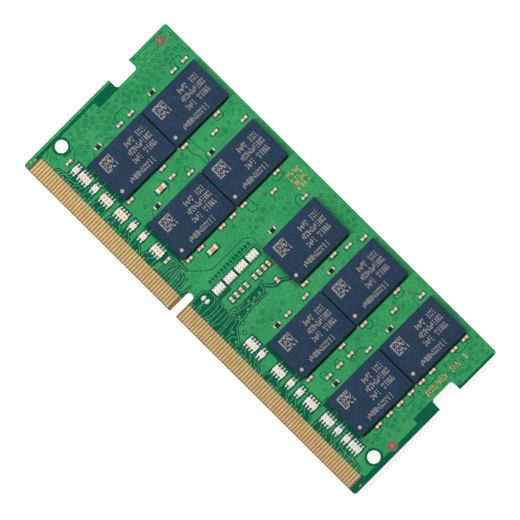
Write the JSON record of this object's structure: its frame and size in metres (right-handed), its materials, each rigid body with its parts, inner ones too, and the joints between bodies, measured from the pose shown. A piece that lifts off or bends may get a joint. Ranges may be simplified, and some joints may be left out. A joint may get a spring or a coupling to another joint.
{
  "type": "memory module",
  "caption": "Small-outline memory module: a green printed board with gold edge contacts, a key notch, latch notches and memory packages soldered to both faces.",
  "frame": {"origin": "middle of the contact edge, at half the board's thickness", "axes": "+X along the board's long side, +Y in the board's plane from the contacts to the top edge, +Z out of the front face, the one with the resistor column and the two bulk capacitors"},
  "size_m": [0.0696, 0.03, 0.0034],
  "materials": {
    "solder_mask": "green solder mask over copper and glass fibre laminate, satin gloss",
    "mould_compound": "dark slate moulding compound, fine grained, matte",
    "array_ceramic": "white ceramic with a thin glaze, satin",
    "resistor_glaze": "black glaze over white ceramic, satin",
    "capacitor_ceramic": "tan fired ceramic, satin",
    "small_mould": "black moulding compound, matte",
    "gold_plating": "hard gold plating over nickel, bright",
    "solder": "tin solder, bright satin",
    "bare_laminate": "bare glass fibre laminate, matte",
    "print_ink": "printed marks, matte"
  },
  "bodies": {
    "root": {"board": "solder_mask", "bulk_capacitor_1": "capacitor_ceramic", "bulk_capacitor_2": "capacitor_ceramic", "chip_resistor_1": "resistor_glaze", "chip_resistor_2": "resistor_glaze", "chip_resistor_3": "resistor_glaze", "chip_resistor_4": "resistor_glaze", "chip_resistor_5": "resistor_glaze", "chip_resistor_6": "resistor_glaze", "chip_resistor_7": "resistor_glaze", "chip_resistor_8": "resistor_glaze", "chip_resistor_9": "resistor_glaze", "contact_capacitor_1": "capacitor_ceramic", "contact_capacitor_2": "capacitor_ceramic", "dram_back_1": "mould_compound", "dram_back_2": "mould_compound", "dram_back_3": "mould_compound", "dram_back_4": "mould_compound", "dram_back_5": "mould_compound", "dram_back_6": "mould_compound", "dram_back_7": "mould_compound", "dram_back_8": "mould_compound", "dram_back_9": "mould_compound", "dram_front_1": "mould_compound", "dram_front_2": "mould_compound", "dram_front_3": "mould_compound", "dram_front_4": "mould_compound", "dram_front_5": "mould_compound", "dram_front_6": "mould_compound", "dram_front_7": "mould_compound", "dram_front_8": "mould_compound", "dram_front_9": "mould_compound", "resistor_array_1": "array_ceramic", "resistor_array_10": "array_ceramic", "resistor_array_11": "array_ceramic", "resistor_array_12": "array_ceramic", "resistor_array_13": "array_ceramic", "resistor_array_14": "array_ceramic", "resistor_array_15": "array_ceramic", "resistor_array_16": "array_ceramic", "resistor_array_17": "array_ceramic", "resistor_array_18": "array_ceramic", "resistor_array_2": "array_ceramic", "resistor_array_3": "array_ceramic", "resistor_array_4": "array_ceramic", "resistor_array_5": "array_ceramic", "resistor_array_6": "array_ceramic", "resistor_array_7": "array_ceramic", "resistor_array_8": "array_ceramic", "resistor_array_9": "array_ceramic", "spd_eeprom": "small_mould", "termination_array_1": "array_ceramic", "termination_array_2": "array_ceramic", "termination_array_3": "array_ceramic", "termination_array_4": "array_ceramic", "top_capacitor_1": "capacitor_ceramic", "top_capacitor_2": "capacitor_ceramic", "top_capacitor_3": "capacitor_ceramic", "top_capacitor_4": "capacitor_ceramic", "top_capacitor_5": "capacitor_ceramic"}
  },
  "joints": []
}
